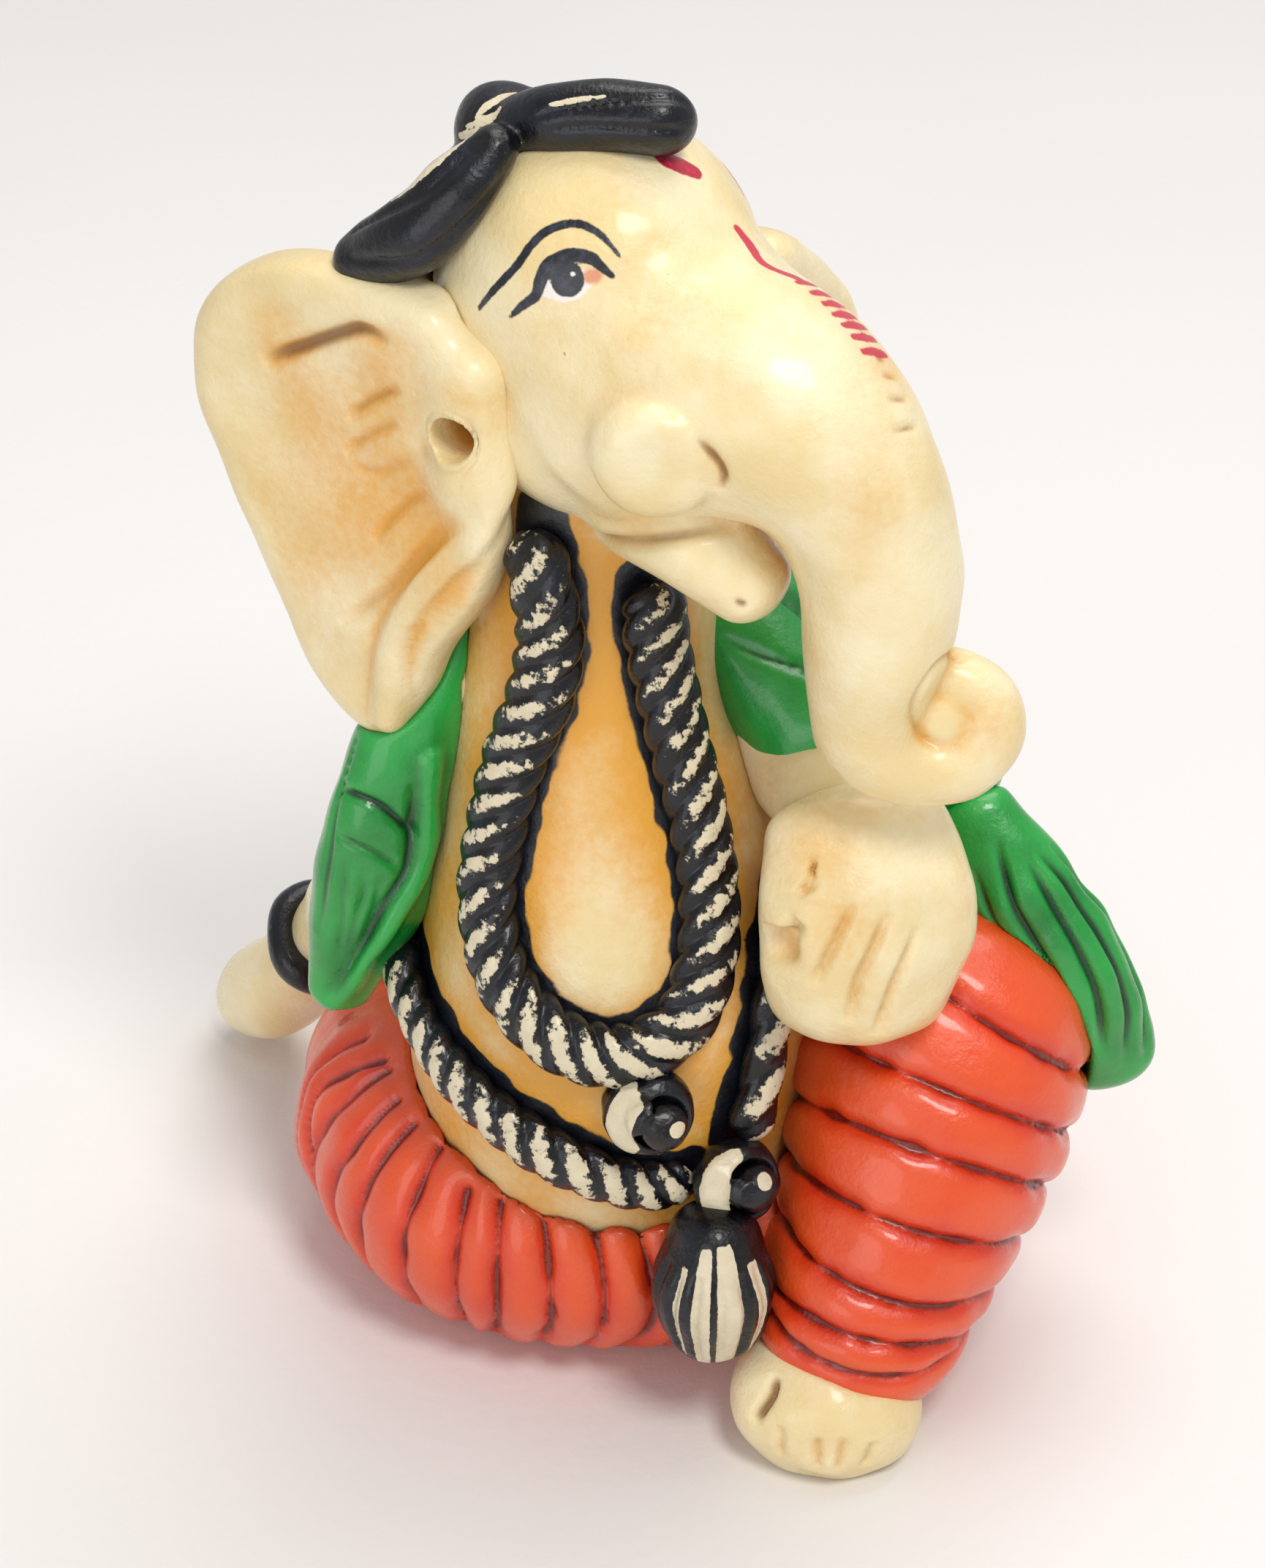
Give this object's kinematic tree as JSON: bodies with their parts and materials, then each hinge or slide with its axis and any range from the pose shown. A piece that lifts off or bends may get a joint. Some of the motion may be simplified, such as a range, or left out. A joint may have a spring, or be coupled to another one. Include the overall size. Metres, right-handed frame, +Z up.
{
  "type": "seated elephant-headed deity figurine",
  "caption": "Small hand-modelled devotional figurine of an elephant-headed deity that sits leaning back on one hand with one knee raised, and stands free on its flat base.",
  "frame": {"origin": "on the flat underside, below the middle of the hips", "axes": "+Z up; the sitter's chest faces -Y; the sitter's right hand is on the -X side"},
  "size_m": [0.0575, 0.059, 0.0849],
  "materials": {
    "skin": "satin",
    "dhoti": "gloss",
    "shawl": "gloss",
    "hair": "gloss",
    "rope": "gloss",
    "stud": "gloss"
  },
  "bodies": {
    "root": {"dhoti_seat": "dhoti", "torso": "skin", "head": "skin", "trunk": "skin", "lower_lip": "skin", "right_tusk": "skin", "left_tusk": "skin", "right_ear": "skin", "left_ear": "skin", "hair_cap": "hair", "forelock": "hair", "right_side_lock": "hair", "left_side_lock": "hair", "hair_bun": "hair", "right_leg": "dhoti", "left_leg": "dhoti", "left_foot": "skin", "right_arm": "skin", "right_hand": "skin", "left_arm": "skin", "left_hand": "skin", "bangle": "rope", "right_sleeve": "shawl", "left_sleeve": "shawl", "left_drape": "shawl", "shawl_back": "shawl", "neck_rope": "rope", "pendant": "stud", "clasp": "stud", "waist_rope_right": "rope", "waist_rope_left": "rope", "waist_rope_back": "rope", "tassel": "rope"}
  },
  "joints": []
}
